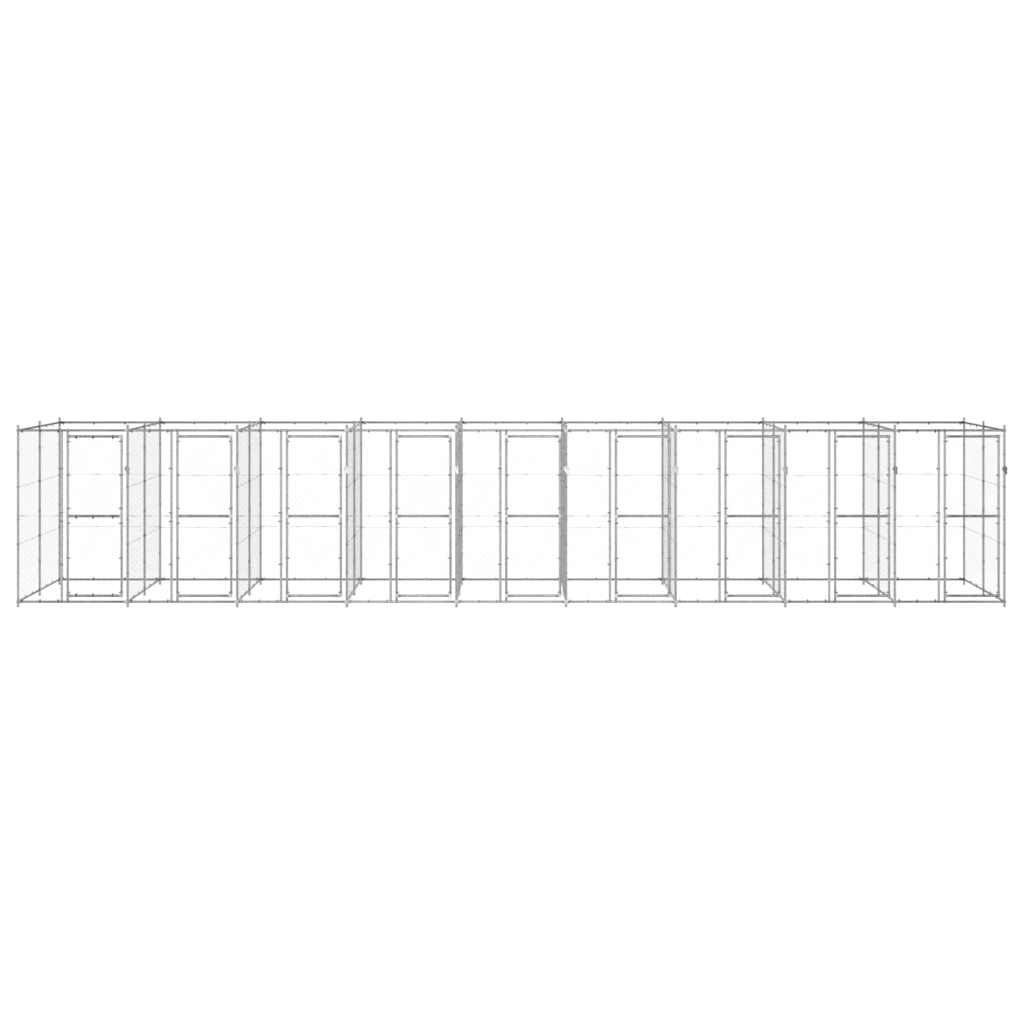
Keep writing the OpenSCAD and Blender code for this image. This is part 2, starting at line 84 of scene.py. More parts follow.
# ---------------------------------------------------------------- geometry kit
class Geo:
    """Quads and triangles, with each corner's place on the map that the finish is baked through."""

    def __init__(self):
        self.v, self.q, self.qu, self.t, self.tu, self.n = [], [], [], [], [], 0

    def add(self, v, q=None, qu=None, t=None, tu=None):
        if q is not None and len(q):
            self.q.append(np.asarray(q, np.int64) + self.n)
            self.qu.append(np.asarray(qu, float))
        if t is not None and len(t):
            self.t.append(np.asarray(t, np.int64) + self.n)
            self.tu.append(np.asarray(tu, float))
        v = np.asarray(v, float).reshape(-1, 3)
        self.v.append(v)
        self.n += len(v)
        return self

    def arrays(self):
        v = np.concatenate(self.v)
        q = np.concatenate(self.q) if self.q else np.zeros((0, 4), np.int64)
        qu = np.concatenate(self.qu) if self.qu else np.zeros((0, 4, 2))
        t = np.concatenate(self.t) if self.t else np.zeros((0, 3), np.int64)
        tu = np.concatenate(self.tu) if self.tu else np.zeros((0, 3, 2))
        return v, q, qu, t, tu

    def join(self, *others):
        for o in others:
            self.add(*[x for x in o.arrays()])
        return self

    def copies(self, mats, rows=False):
        """This shape once for each 4x4 matrix, each copy on its own part of the map."""
        v, q, qu, t, tu = self.arrays()
        mats = np.asarray(mats, float)
        count = len(mats)
        out = Geo()
        if not count:
            return out
        turned = np.linalg.det(mats[:, :3, :3]) < 0
        vs = np.einsum("nij,kj->nki", mats[:, :3, :3], v) + mats[:, None, :3, 3]
        g = math.ceil(math.sqrt(count))
        for i in range(count):
            if rows:
                lo, size = np.array([0.0, i / count]), np.array([1.0, 1.0 / count])
            else:
                lo, size = np.array([i % g, i // g]) / g, np.array([1.0 / g, 1.0 / g])
            fq, fqu, ft, ftu = q, qu, t, tu
            if turned[i]:
                fq, fqu, ft, ftu = q[:, ::-1], qu[:, ::-1], t[:, ::-1], tu[:, ::-1]
            out.add(vs[i], fq, lo + size * (0.03 + 0.94 * fqu), ft, lo + size * (0.03 + 0.94 * ftu))
        return out


def at(x=0.0, y=0.0, z=0.0, axes=None):
    m = np.eye(4)
    if axes is not None:
        m[:3, :3] = np.array(axes, float).T
    m[:3, 3] = (x, y, z)
    return m


X, Y, Z = np.eye(3)
ALONG_Y = (Z, X, Y)  # local Z goes along +Y


def packed(parts):
    """Several shapes, each moved to a column of its own on the map."""
    out, n = Geo(), len(parts)
    for i, p in enumerate(parts):
        v, q, qu, t, tu = p.arrays()
        s, o = np.array([1.0, 1.0 / n]), np.array([0.0, i / n])
        out.add(v, q, o + s * (0.02 + 0.96 * qu), t, o + s * (0.02 + 0.96 * tu))
    return out


def loft(rings, cap0=True, cap1=True, round_again=False):
    """A skin over rings of points. Rings turn anticlockwise seen from where they are going."""
    rings = np.asarray(rings, float)
    n, m = rings.shape[:2]
    g = Geo()
    mid = rings.mean(1)
    step = np.linalg.norm(np.diff(mid, axis=0, append=mid[:1]), axis=1)
    step += np.abs(np.diff(np.linalg.norm(rings - mid[:, None], axis=2).mean(1), append=0.0)) * 0.5 + 1e-6
    spans = n if round_again else n - 1
    u = np.concatenate([[0.0], np.cumsum(step[:spans])])
    u /= u[-1]
    i, j = np.meshgrid(np.arange(spans), np.arange(m), indexing="ij")
    i, j = i.ravel(), j.ravel()
    i2, j2 = (i + 1) % n, (j + 1) % m
    q = np.stack([i * m + j, i * m + j2, i2 * m + j2, i2 * m + j], 1)
    top = 0.9 / m
    qu = np.stack([np.stack([u[i], j * top], 1), np.stack([u[i], (j + 1) * top], 1),
                   np.stack([u[i + 1], (j + 1) * top], 1), np.stack([u[i + 1], j * top], 1)], 1)
    verts, t, tu = [rings.reshape(-1, 3)], [], []
    extra = n * m
    jj = np.arange(m)
    ang = 2 * math.pi * np.arange(m + 1) / m
    disc = np.stack([np.cos(ang), np.sin(ang)], 1) * 0.035
    for flag, ring, base, mid_uv, rev in ((cap0, 0, 0, (0.3, 0.955), True), (cap1, n - 1, (n - 1) * m, (0.7, 0.955), False)):
        if not flag or round_again:
            continue
        verts.append(rings[ring].mean(0, keepdims=True))
        a, b = base + jj, base + (jj + 1) % m
        c = np.full(m, extra)
        extra += 1
        ua, ub = disc[:-1] + mid_uv, disc[1:] + mid_uv
        uc = np.tile(np.array(mid_uv), (m, 1))
        t.append(np.stack([c, b, a], 1) if rev else np.stack([c, a, b], 1))
        tu.append(np.stack([uc, ub, ua], 1) if rev else np.stack([uc, ua, ub], 1))
    g.add(np.concatenate(verts), q, qu, np.concatenate(t) if t else None, np.concatenate(tu) if tu else None)
    return g


def revolve(profile, sides, reach=None):
    """A turned shape about Z. The profile runs (radius, height) with the solid on its left; reach(angle, radius) may bend it."""
    prof = np.array(profile, float)
    ang = 2 * math.pi * np.arange(sides) / sides
    c, s = np.cos(ang), np.sin(ang)
    rings = []
    for r, h in prof:
        rr = np.full(sides, r) if reach is None else np.array([reach(a, r) for a in ang])
        rings.append(np.stack([rr * c, rr * s, np.full(sides, h)], 1))
    # a ring of no size is closed by a fan about its middle
    rings = np.array(rings)
    lo, hi = prof[0, 0] < 1e-9, prof[-1, 0] < 1e-9
    body = rings[1 if lo else 0: len(rings) - 1 if hi else len(rings)]
    g = loft(body, lo, hi)
    v, q, qu, t, tu = g.arrays()
    k = len(body) * sides
    if lo:
        v[k] = (0, 0, prof[0, 1])
        k += 1
    if hi:
        v[k] = (0, 0, prof[-1, 1])
    return Geo().add(v, q, qu, t, tu)


def frames(path, closed=False, ref=None):
    """Unit tangents and two cross directions along a path, turning as little as possible."""
    p = np.asarray(path, float)
    if closed:
        tan = np.roll(p, -1, 0) - np.roll(p, 1, 0)
    else:
        d = np.diff(p, axis=0)
        d /= np.linalg.norm(d, axis=1, keepdims=True)
        tan = np.concatenate([d[:1], d[:-1] + d[1:], d[-1:]])
    tan /= np.linalg.norm(tan, axis=1, keepdims=True)
    if ref is None:
        ref = np.eye(3)[np.argmin(np.abs(tan[0]))]
    a = np.zeros_like(p)
    now = np.array(ref, float)
    for i, t in enumerate(tan):
        now = now - t * (now @ t)
        now /= np.linalg.norm(now)
        a[i] = now
    return tan, a, np.cross(tan, a)


def sweep(path, radius, sides, closed=False, ref=None):
    path = np.asarray(path, float)
    _, a, b = frames(path, closed, ref)
    ang = 2 * math.pi * np.arange(sides) / sides
    r = np.broadcast_to(np.asarray(radius, float), (len(path),))
    rings = path[:, None] + r[:, None, None] * (np.cos(ang)[None, :, None] * a[:, None] + np.sin(ang)[None, :, None] * b[:, None])
    return loft(rings, round_again=closed)


def show(name, geo, material, body, stands_for=(), sharp=35.0):
    v, q, qu, t, tu = geo.arrays()
    me = bpy.data.meshes.new(name)
    me.vertices.add(len(v))
    me.vertices.foreach_set("co", v.astype(np.float32).ravel())
    me.loops.add(q.size + t.size)
    me.loops.foreach_set("vertex_index", np.concatenate([q.ravel(), t.ravel()]).astype(np.int32))
    me.polygons.add(len(q) + len(t))
    starts = np.concatenate([4 * np.arange(len(q)), 4 * len(q) + 3 * np.arange(len(t))])
    me.polygons.foreach_set("loop_start", starts.astype(np.int32))
    me.update(calc_edges=True)
    layer = me.uv_layers.new(name="OFBake")
    uv = np.concatenate([qu.reshape(-1, 2), tu.reshape(-1, 2)])
    layer.uv.foreach_set("vector", uv.astype(np.float32).ravel())
    me.polygons.foreach_set("use_smooth", np.ones(len(q) + len(t), bool))
    me.set_sharp_from_angle(angle=math.radians(sharp))
    me.update()
    o = bpy.data.objects.new(name, me)
    scene.collection.objects.link(o)
    me.materials.append(material)
    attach(o, body)
    if stands_for:
        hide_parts(*stands_for)
    return o


# ---------------------------------------------------------------- camera
cam_data = bpy.data.cameras.new("camera")
cam_data.sensor_width = 36.0
cam_data.lens = 85.08
cam_data.shift_x = -0.00597
cam_data.shift_y = -0.1729
cam_data.clip_start, cam_data.clip_end = 0.1, 300.0
camera = bpy.data.objects.new("camera", cam_data)
camera.location = (0.0686, -25.387, 2.7325)
camera.rotation_euler = (math.pi / 2, 0.0, 0.0)
scene.collection.objects.link(camera)
scene.camera = camera


# ---------------------------------------------------------------- materials
def material(name):
    m = bpy.data.materials.new(name)
    m.use_nodes = True
    nt = m.node_tree
    return m, nt, nt.nodes["Principled BSDF"]


def link(nt, a, b):
    nt.links.new(a, b)


def noise(nt, coord, scale, detail=3.0, rough=0.55, shift=(0.0, 0.0, 0.0), stretch=(1.0, 1.0, 1.0)):
    mp = nt.nodes.new("ShaderNodeMapping")
    mp.inputs["Location"].default_value = shift
    mp.inputs["Scale"].default_value = stretch
    link(nt, coord, mp.inputs["Vector"])
    n = nt.nodes.new("ShaderNodeTexNoise")
    n.inputs["Scale"].default_value = scale
    n.inputs["Detail"].default_value = detail
    n.inputs["Roughness"].default_value = rough
    link(nt, mp.outputs["Vector"], n.inputs["Vector"])
    return n.outputs["Fac"]


def ramp(nt, value, stops):
    r = nt.nodes.new("ShaderNodeValToRGB")
    e = r.color_ramp.elements
    while len(e) < len(stops):
        e.new(0.5)
    for k, (pos, colour) in zip(e, stops):
        k.position = pos
        k.color = (*colour, 1.0)
    link(nt, value, r.inputs["Fac"])
    return r.outputs["Color"]


def to_range(nt, value, lo, hi, from_lo=0.25, from_hi=0.75):
    r = nt.nodes.new("ShaderNodeMapRange")
    r.inputs["From Min"].default_value = from_lo
    r.inputs["From Max"].default_value = from_hi
    r.inputs["To Min"].default_value = lo
    r.inputs["To Max"].default_value = hi
    link(nt, value, r.inputs["Value"])
    return r.outputs["Result"]


def blend_colours(nt, fac, a, b, kind="MIX"):
    x = nt.nodes.new("ShaderNodeMix")
    x.data_type = "RGBA"
    x.blend_type = kind
    if isinstance(fac, float):
        x.inputs["Factor"].default_value = fac
    else:
        link(nt, fac, x.inputs["Factor"])
    link(nt, a, x.inputs[6])
    link(nt, b, x.inputs[7])
    return x.outputs[2]


def bump(nt, bsdf, height, strength, distance):
    b = nt.nodes.new("ShaderNodeBump")
    b.inputs["Strength"].default_value = strength
    b.inputs["Distance"].default_value = distance
    link(nt, height, b.inputs["Height"])
    link(nt, b.outputs["Normal"], bsdf.inputs["Normal"])


def object_coords(nt):
    return nt.nodes.new("ShaderNodeTexCoord").outputs["Object"]


def grey(v, tint=(1.0, 1.0, 1.0)):
    return tuple(v * t for t in tint)


COOL = (0.998, 1.0, 1.002)


def galvanised(name, level, rough=(0.36, 0.52), spangle=110.0, seed=0.0, spread=0.16, edge=1.0):
    """Hot-dip zinc: crystal spangle a few millimetres across, a cloudy bloom over it, and fine grain. A low edge is duller at a slant."""
    m, nt, p = material(name)
    co = object_coords(nt)
    vor = nt.nodes.new("ShaderNodeTexVoronoi")
    vor.inputs["Scale"].default_value = spangle
    warp = nt.nodes.new("ShaderNodeMapping")
    warp.inputs["Location"].default_value = (seed, 0.37 * seed, 0.71 * seed)
    link(nt, co, warp.inputs["Vector"])
    link(nt, warp.outputs["Vector"], vor.inputs["Vector"])
    sep = nt.nodes.new("ShaderNodeSeparateColor")
    link(nt, vor.outputs["Color"], sep.inputs["Color"])
    crystals = ramp(nt, sep.outputs["Red"], [(0.0, grey(level * (1 - spread), COOL)), (0.55, grey(level, COOL)), (1.0, grey(level * (1 + spread), COOL))])
    cloud = noise(nt, co, 9.0, 4.0, 0.6, (seed + 3.1, 1.7, 0.4))
    bloom = ramp(nt, cloud, [(0.3, grey(level * 0.9, COOL)), (0.5, grey(level, COOL)), (0.72, grey(level * 1.12, (1.0, 1.0, 1.0)))])
    link(nt, blend_colours(nt, 0.5, crystals, bloom), p.inputs["Base Color"])
    grain = noise(nt, co, 420.0, 2.0, 0.5, (seed, 5.0, 2.0))
    rough_mix = nt.nodes.new("ShaderNodeMath")
    rough_mix.operation = "ADD"
    link(nt, to_range(nt, cloud, rough[0], rough[1], 0.3, 0.7), rough_mix.inputs[0])
    link(nt, to_range(nt, sep.outputs["Green"], -0.05, 0.05, 0.0, 1.0), rough_mix.inputs[1])
    link(nt, rough_mix.outputs["Value"], p.inputs["Roughness"])
    bump(nt, p, grain, 0.12, 0.0004)
    p.inputs["Metallic"].default_value = 1.0
    p.inputs["Specular Tint"].default_value = (edge, edge, edge, 1.0)
    return m


def plated(name, level, rough=(0.22, 0.36), seed=0.0):
    """Bright zinc plate on small steel parts, a little duller in patches."""
    m, nt, p = material(name)
    co = object_coords(nt)
    n1 = noise(nt, co, 160.0, 3.0, 0.6, (seed, 2.0, 1.0))
    link(nt, ramp(nt, n1, [(0.3, grey(level * 0.88, (1.0, 0.999, 0.996))), (0.55, grey(level, COOL)), (0.75, grey(level * 1.08, COOL))]), p.inputs["Base Color"])
    link(nt, to_range(nt, noise(nt, co, 420.0, 2.0, 0.5, (1.0, seed, 4.0)), rough[0], rough[1]), p.inputs["Roughness"])
    bump(nt, p, noise(nt, co, 900.0, 2.0, 0.5, (7.0, seed, 1.0)), 0.08, 0.0003)
    p.inputs["Metallic"].default_value = 1.0
    return m


def rolled_plate(name, level, rough=(0.2, 0.34), seed=0.0):
    """Rolled sheet: long faint brush marks, zinc plated."""
    m, nt, p = material(name)
    co = object_coords(nt)
    marks = noise(nt, co, 60.0, 4.0, 0.65, (seed, 0.0, 2.0), (1.0, 1.0, 14.0))
    patches = noise(nt, co, 45.0, 3.0, 0.55, (2.0, seed, 0.0))
    a = ramp(nt, marks, [(0.3, grey(level * 0.94, COOL)), (0.7, grey(level * 1.06, COOL))])
    b = ramp(nt, patches, [(0.3, grey(level * 0.93, COOL)), (0.7, grey(level * 1.05, (1.0, 1.0, 1.0)))])
    link(nt, blend_colours(nt, 0.5, a, b), p.inputs["Base Color"])
    link(nt, to_range(nt, marks, rough[0], rough[1]), p.inputs["Roughness"])
    bump(nt, p, marks, 0.05, 0.0003)
    p.inputs["Metallic"].default_value = 1.0
    return m


def moulded(name, level, seed=0.0):
    """Moulded dark plastic with a fine spark texture and slightly paler scuffs."""
    m, nt, p = material(name)
    co = object_coords(nt)
    scuff = noise(nt, co, 70.0, 5.0, 0.65, (seed, 1.0, 3.0))
    link(nt, ramp(nt, scuff, [(0.35, grey(level * 0.85)), (0.6, grey(level)), (0.8, grey(level * 1.5))]), p.inputs["Base Color"])
    link(nt, to_range(nt, scuff, 0.46, 0.64), p.inputs["Roughness"])
    bump(nt, p, noise(nt, co, 1500.0, 2.0, 0.5, (seed, 0.0, 0.0)), 0.15, 0.0003)
    p.inputs["Specular IOR Level"].default_value = 0.4
    return m


POST_STEEL = galvanised("galvanised_posts", 0.36, (0.28, 0.42), seed=0.0)
RAIL_STEEL = galvanised("galvanised_rails", 0.396, (0.2, 0.34), seed=4.3)
# painted shade: the side rails are the same galvanised tube as the front rails, their colour set about half as bright
# for how dark the side walls look at a slant
SIDE_RAIL_SHADED_STEEL = galvanised("galvanised_side_rails_painted_shade", 0.2, (0.13, 0.24), seed=3.4)
SIDE_TOP_RAIL_SHADED_STEEL = galvanised("galvanised_side_top_rails_painted_shade", 0.2, (0.13, 0.24), seed=1.9, edge=0.58)
# painted shade: the rear rails are the same tube as the front rails, their colour set darker for the rear wall seen
# through the mesh
REAR_RAIL_SHADED_STEEL = galvanised("galvanised_rear_rails_painted_shade", 0.288, (0.28, 0.42), seed=5.7)
DOOR_STEEL = galvanised("galvanised_doors", 0.385, (0.2, 0.34), seed=8.9)
UPRIGHT_STEEL = galvanised("galvanised_uprights", 0.405, (0.2, 0.34), seed=2.6)
WIRE_STEEL = galvanised("galvanised_wire", 0.4, (0.3, 0.44), 260.0, 2.2, 0.12)
# painted shade: the side walls' tension wire is the same wire as the others, its colour set much darker for how the
# side walls look at a slant
SIDE_WIRE_SHADED_STEEL = galvanised("galvanised_side_wire_painted_shade", 0.16, (0.3, 0.44), 260.0, 7.4, 0.12)
TIE_STEEL = plated("annealed_tie_wire", 0.17, (0.3, 0.44), 6.0)
MESH_STEEL = galvanised("galvanised_mesh", 0.59, (0.3, 0.44), 90.0, 6.1, 0.14)
CLIP_STEEL = plated("plated_clips", 0.28, (0.14, 0.24), 3.0)
BOLT_STEEL = plated("plated_fasteners", 0.36, (0.24, 0.38), 9.0)
LATCH_STEEL = rolled_plate("plated_latches", 0.3, (0.15, 0.25))
PIVOT_STEEL = plated("plated_latch_bolts", 0.28, (0.26, 0.4), 12.0)
CAP_PLASTIC = moulded("moulded_caps", 0.4)

# ---------------------------------------------------------------- carried-over tubes and small pieces
for names, mat in (
    (("front_posts", "middle_posts", "rear_posts"), POST_STEEL),
    (("side_top_rails",), SIDE_TOP_RAIL_SHADED_STEEL),
    (("side_bottom_rails",), SIDE_RAIL_SHADED_STEEL),
    (("door_uprights",), UPRIGHT_STEEL),
    (("middle_studs", "flat_washers"), BOLT_STEEL),
):
    for n in names:
        nodes[n].data.materials.clear()
        nodes[n].data.materials.append(mat)


# ---------------------------------------------------------------- rails with flattened ends
def flat_ring(x, y_mid, half_h, half_t, roundness, r, sides):
    """Points round a tube that is pressed flat: roundness 0 is the flat, 1 the round tube of radius r."""
    th = 2 * math.pi * np.arange(sides) / sides
    c, s = np.cos(th), np.sin(th)
    z = half_h * s
    edge = np.clip((np.abs(z) - (half_h - half_t)) / half_t, 0.0, 1.0)
    y = np.sign(np.round(c, 9)) * half_t * np.sqrt(np.maximum(0.0, 1.0 - edge ** 2))
    y = (1 - roundness) * y + roundness * r * c
    z = (1 - roundness) * z + roundness * r * s
    return np.stack([np.full(sides, x), y_mid + y, z], 1)


def half_rail(back, r, sides):
    """Rings from the tip of the flat to the round tube. The flat's back is this far in front (-Y) of the tube's middle."""
    y_flat = -(back + TAB_T / 2)
    out = []
    for deg in (16, 32, 50, 70):
        a = math.radians(deg)
        out.append(flat_ring(-TAB_R * math.cos(a), y_flat, TAB_R * math.sin(a), TAB_T / 2, 0.0, r, sides))
    for x in (0.0, 8 * MM, 15 * MM):
        out.append(flat_ring(x, y_flat, TAB_R, TAB_T / 2, 0.0, r, sides))
    for k in range(1, 9):
        s = k / 8
        e = s * s * (3 - 2 * s)
        out.append(flat_ring((15 + 31 * s) * MM, y_flat * (1 - e), TAB_R * (1 - e) + r * e, TAB_T / 2 * (1 - e) + r * e, e, r, sides))
    return out


def flat_rail(length, r, back_left, back_right, sides=20):
    left = half_rail(back_left, r, sides)
    mirror = [k * np.array([-1.0, 1.0, 1.0]) + np.array([length, 0.0, 0.0]) for k in reversed(half_rail(back_right, r, sides))]
    mids = [flat_ring(length * f, 0.0, r, r, 1.0, r, sides) for f in (0.25, 0.5, 0.75)]
    return loft(left + mids + mirror)


RAIL = flat_rail(PITCH, RAIL_R, POST_R + PLAY - RAIL_OFF, POST_R + PLAY + TAB_STEP - RAIL_OFF)
BACKWARD = np.diag([1.0, -1.0, 1.0, 1.0])
for name, y, z, back in (
    ("front_top_rails", Y_DOOR, Z_HIGH, False),
    ("front_bottom_rails", Y_DOOR, Z_LOW, False),
    ("rear_top_rails", Y_BACK, Z_HIGH, True),
    ("rear_bottom_rails", Y_BACK, Z_LOW, True),
):
    mats = [at(post_x(i), y, z) @ (BACKWARD if back else np.eye(4)) for i in range(BAYS)]
    # the rear rails take the darker copy of the zinc, with painted shade in its colour
    show("swaged_" + name, RAIL.copies(mats, rows=True), REAR_RAIL_SHADED_STEEL if back else RAIL_STEEL, "run_frame", [name])


# ---------------------------------------------------------------- caps and feet
def cap_shape():
    pts = [(0, 12), (11.06, 12), (11.06, 0.35), (11.35, 0.0), (11.9, 0.0), (12.2, 0.3), (12.2, 13.2), (11.95, 14.2),
           (11.2, 14.85), (10.2, 15.0), (3.4, 15.0), (2.7, 14.6), (0, 14.5)]
    return revolve([(r * MM + (POST_R - 11 * MM if r > 10.5 else 0.0), h * MM) for r, h in pts], 20)


def foot_shape():
    """Drawn upside down: the closed end has a shallow hollow and a rim that stands on the ground."""
    pts = [(0, 12), (11.06, 12), (11.06, 0.35), (11.35, 0.0), (11.9, 0.0), (12.2, 0.3), (12.2, 14.3), (11.9, 14.85),
           (11.3, 15.0), (8.6, 15.0), (7.9, 14.5), (0, 14.3)]
    return revolve([(r * MM + (POST_R - 11 * MM if r > 10.5 else 0.0), h * MM) for r, h in pts], 20)


DOWN = np.diag([1.0, -1.0, -1.0, 1.0])
all_posts = [(post_x(i), y) for y in (Y_FRONT, Y_MID, Y_REAR) for i in range(BAYS + 1)]
show("moulded_top_caps", cap_shape().copies([at(x, y, POST_H - CAP_H) for x, y in all_posts]), CAP_PLASTIC, "run_frame", ["post_top_caps"])
show("moulded_feet", foot_shape().copies([at(x, y, CAP_H) @ DOWN for x, y in all_posts]), CAP_PLASTIC, "run_frame", ["post_feet"])


# ---------------------------------------------------------------- fasteners
def hexagon(angle, radius):
    """Reach of a hexagon with this half-width across its flats."""
    a = (math.degrees(angle) + 30) % 60 - 30
    return radius / math.cos(math.radians(a))


def hex_head(height, half_flats=6.5 * MM):
    """Bolt head on Z with its seat at 0: a thin round bearing face, six flats and a turned chamfer."""
    r = half_flats
    rings = [(0.0, 0.0), (0.93, 0.0), (0.93, 0.25 * MM), (1.0, 0.3 * MM), (1.0, height - 0.9 * MM)]
    ang = 2 * math.pi * np.arange(24) / 24
    out = []
    for k, h in rings[1:]:
        rr = np.array([hexagon(a, r) if k == 1.0 else r * k for a in ang])
        out.append(np.stack([rr * np.cos(ang), rr * np.sin(ang), np.full(24, h)], 1))
    rr = np.array([min(hexagon(a, r), 1.075 * r) for a in ang])
    out.append(np.stack([rr * np.cos(ang), rr * np.sin(ang), np.full(24, height - 0.45 * MM)], 1))
    for k, h in ((0.95, height), (0.62, height + 0.02 * MM)):
        out.append(np.stack([k * r * np.cos(ang), k * r * np.sin(ang), np.full(24, h)], 1))
    return loft(out)


def shank(radius, start, end):
    """Threaded shank on Z: shallow turned grooves over its last part."""
    pts = [(0, start), (radius, start)]
    h = end - 12 * MM
    if h > start:
        pts.append((radius, h))
    h = max(h, start)
    n = int((end - 1.2 * MM - h) / (1.25 * MM))
    for k in range(n):
        z0 = h + k * 1.25 * MM
        pts += [(0.9 * radius, z0 + 0.6 * MM), (radius, z0 + 1.2 * MM)]
    pts += [(0.8 * radius, end), (0, end)]
    return revolve(pts, 12)


def flipped(g):
    v, q, qu, t, tu = g.arrays()
    v = v * np.array([1.0, -1.0, -1.0])
    return Geo().add(v, q, qu, t, tu)


def bolt(head_seat, tip, head=HEAD_T):
    """Bolt on Z: the head sits above head_seat and the shank runs down to tip."""
    up = hex_head(head)
    v, q, qu, t, tu = up.arrays()
    v = v + np.array([0.0, 0.0, head_seat])
    down = flipped(shank(BOLT_R, -(head_seat + 0.5 * MM), -tip))
    return packed([Geo().add(v, q, qu, t, tu), down])


OUT_FRONT = (X, Z, -Y)  # local Z points to the front
OUT_REAR = (-X, Z, Y)
corner = bolt(STACK + WASHER_T + 2 * PLAY, -(POST_R + GRIP))
mats = [at(post_x(i), Y_FRONT, z, OUT_FRONT) for z in (Z_LOW, Z_HIGH) for i in range(BAYS + 1)]
mats += [at(post_x(i), Y_REAR, z, OUT_REAR) for z in (Z_LOW, Z_HIGH) for i in range(BAYS + 1)]
show("hex_corner_bolts", corner.copies(mats), BOLT_STEEL, "run_frame", ["corner_bolts"])

latch_bolt = bolt(LATCH_BACK + LATCH_T + LATCH_GAP, -(POST_R + PLAY + WASHER_T + 8.5 * MM))
show("hex_latch_bolts", latch_bolt.copies([at(post_x(i), Y_FRONT, LATCH_Z, OUT_FRONT) for i in range(1, BAYS + 1)]), PIVOT_STEEL, "run_frame", ["latch_bolts"])


def nut_shape(height=6.5 * MM, half_flats=6.5 * MM):
    ang = 2 * math.pi * np.arange(24) / 24
    out = []
    for kind, h in (("in", 0.0), ("chamfer", 0.0), ("hex", 0.5 * MM), ("hex", height - 0.5 * MM), ("chamfer", height), ("in", height)):
        if kind == "in":
            rr = np.full(24, BOLT_R + PLAY)
        elif kind == "hex":
            rr = np.array([hexagon(a, half_flats) for a in ang])
        else:
            rr = np.full(24, 0.96 * half_flats)
        out.append(np.stack([rr * np.cos(ang), rr * np.sin(ang), np.full(24, h)], 1))
    return loft(out, round_again=True)


show("hex_latch_nuts", nut_shape().copies([at(post_x(i), Y_FRONT + POST_R + WASHER_T + 2 * PLAY, LATCH_Z, ALONG_Y) for i in range(1, BAYS + 1)]), BOLT_STEEL, "run_frame", ["latch_nuts"])

pin = bolt(RAIL_R + PLAY, -(RAIL_R + PLAY + 22 * MM))
mats = [at(post_x(i) + HINGE_X, Y_DOOR, Z_HIGH) for i in range(BAYS)] + [at(post_x(i) + HINGE_X, Y_DOOR, Z_LOW) @ DOWN for i in range(BAYS)]
show("hex_hinge_pins", pin.copies(mats), BOLT_STEEL, "run_frame", ["hinge_pins"])


def pan_screw():
    """Round-headed screw on Z with a driver recess, head above the rail, shank down into the upright."""
    s = RAIL_R + PLAY
    pts = [(0, s), (5.3, 0.0), (5.5, 0.3), (5.3, 1.6), (4.6, 2.6), (3.4, 3.3), (2.3, 3.5), (1.9, 1.9), (0, 1.7)]
    head = revolve([(0, s)] + [(r * MM, s + h * MM) for r, h in pts[1:]], 18)
    stem = flipped(shank(SCREW_R, -(s + 0.4 * MM), RAIL_R + 17 * MM))
    return packed([head, stem])


mats = [at(post_x(i) + UPRIGHT_X, Y_DOOR, Z_HIGH) for i in range(BAYS)] + [at(post_x(i) + UPRIGHT_X, Y_DOOR, Z_LOW) @ DOWN for i in range(BAYS)]
show("pan_upright_screws", pan_screw().copies(mats), BOLT_STEEL, "run_frame", ["upright_screws"])


# ---------------------------------------------------------------- mesh clips
def clip_shape(tube_r):
    """Strip folded round a tube on Z, its two leaves pinched and bolted at +X."""
    rc = tube_r + PLAY + BAND_T / 2
    tip = tube_r + CLIP_REACH
    half = BAND_T / 2
    path, width = [], []
    for x, y, w in ((tip, half, 2.4), (tip - 1.2 * MM, half, 4.0), (tip - 5 * MM, half, 5.6), (rc + 4.0 * MM, half, 8.6), (rc + 1.6 * MM, 1.05 * MM, 9.0)):
        path.append((x, y))
        width.append(w * MM)
    wrap = np.radians(np.concatenate([[17.0], np.linspace(36, 324, 13), [343.0]]))
    for a in wrap:
        path.append((rc * math.cos(a), rc * math.sin(a)))
        width.append(CLIP_W / 2)
    n = 5
    for k in range(n - 1, -1, -1):
        path.append((path[k][0], -path[k][1]))
        width.append(width[k])
    p = np.array([(x, y, 0.0) for x, y in path])
    d = np.diff(p, axis=0)
    d /= np.linalg.norm(d, axis=1, keepdims=True)
    tan = np.concatenate([d[:1], d[:-1] + d[1:], d[-1:]])
    tan /= np.linalg.norm(tan, axis=1, keepdims=True)
    left = np.cross(Z, tan)
    w = np.array(width)
    rings = np.stack([
        p + left * half - Z * w[:, None],
        p + left * half + Z * w[:, None],
        p - left * half + Z * w[:, None],
        p - left * half - Z * w[:, None],
    ], 1)
    strip = loft(rings)
    # a small bolt and nut through the leaves: six flats, turned edge, end of the thread
    pts = [(0, -4.4), (4.3, -4.4), (4.9, -3.9), (4.9, -1.2), (4.9, 1.2), (4.9, 4.3), (4.4, 4.8), (2.5, 4.8), (2.5, 6.6), (2.1, 7.0), (0, 7.0)]
    rings = []
    for r, h in pts[1:-1]:
        ang = 2 * math.pi * np.arange(6) / 6
        rings.append(np.stack([r * MM * np.cos(ang), r * MM * np.sin(ang), np.full(6, h * MM)], 1))
    v, q, qu, t, tu = loft(rings).arrays()
    v = v @ np.array(ALONG_Y, float) + np.array([tube_r + 9.2 * MM, 0.0, 0.0])
    return packed([strip, Geo().add(v, q, qu, t, tu)])


